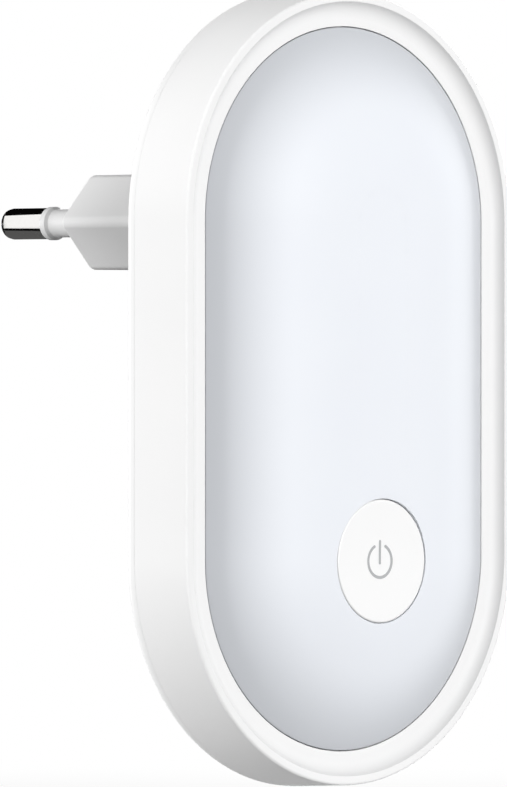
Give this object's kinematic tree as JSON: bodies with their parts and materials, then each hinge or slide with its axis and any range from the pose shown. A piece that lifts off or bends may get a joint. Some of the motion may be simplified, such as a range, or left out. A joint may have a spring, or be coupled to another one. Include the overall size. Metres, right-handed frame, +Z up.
{
  "type": "plug-in night light",
  "caption": "Capsule-shaped plug-in night light with a domed opal diffuser, a flush round push button and a hollow plug block with sleeved round pins.",
  "frame": {"origin": "centre of the plug face, midway between the pins", "axes": "+Y from the lamp into the wall socket, along the pins; +Z up; +X to the right seen from the front"},
  "size_m": [0.058, 0.058, 0.1],
  "materials": {
    "shell_white": "satin moulded white",
    "opal_diffuser": "satin opal",
    "button_white": "satin moulded white",
    "sleeve_white": "satin",
    "pin_nickel": "polished nickel plate",
    "screw_steel": "zinc plated",
    "board_white": "white lacquered board",
    "led_amber": "resin",
    "film_yellow": "moulded box",
    "can_aluminium": "sleeved can",
    "chip_black": "moulded",
    "resistor_green": "lacquered",
    "resistor_beige": "lacquered",
    "switch_black": "moulded",
    "switch_steel": "stamped",
    "wire_brown": "insulated",
    "wire_blue": "insulated"
  },
  "bodies": {
    "lamp": {"housing": "shell_white", "diffuser": "opal_diffuser", "back_cover": "shell_white", "cover_screws": "screw_steel", "pin_left": "pin_nickel", "pin_right": "pin_nickel", "sleeve_left": "sleeve_white", "sleeve_right": "sleeve_white", "circuit_board": "board_white", "board_screws": "screw_steel", "leds": "led_amber", "dropper_capacitor": "film_yellow", "smoothing_capacitor": "can_aluminium", "bridge_rectifier": "chip_black", "control_chip": "chip_black", "fuse_resistor": "resistor_green", "bleed_resistor": "resistor_beige", "switch_base": "switch_black", "switch_terminals": "switch_steel", "switch_cover": "switch_steel", "switch_dome": "switch_steel", "live_wire": "wire_brown", "neutral_wire": "wire_blue"},
    "button": {"button_cap": "button_white"},
    "plunger": {"switch_plunger": "switch_black"}
  },
  "joints": [
    {"name": "button_press", "type": "slide", "parent": "lamp", "child": "button", "axis": [0, 1, 0], "range_m": [0, 0.0005], "stiffness_N_per_m": 3000, "springref_m": -0.0002},
    {"name": "plunger_press", "type": "slide", "parent": "lamp", "child": "plunger", "axis": [0, 1, 0], "range_m": [0, 0.0005], "deforming": ["switch_dome"]}
  ],
  "couplings": [
    {"joint": "plunger_press", "follows": "button_press", "ratio": 1}
  ]
}
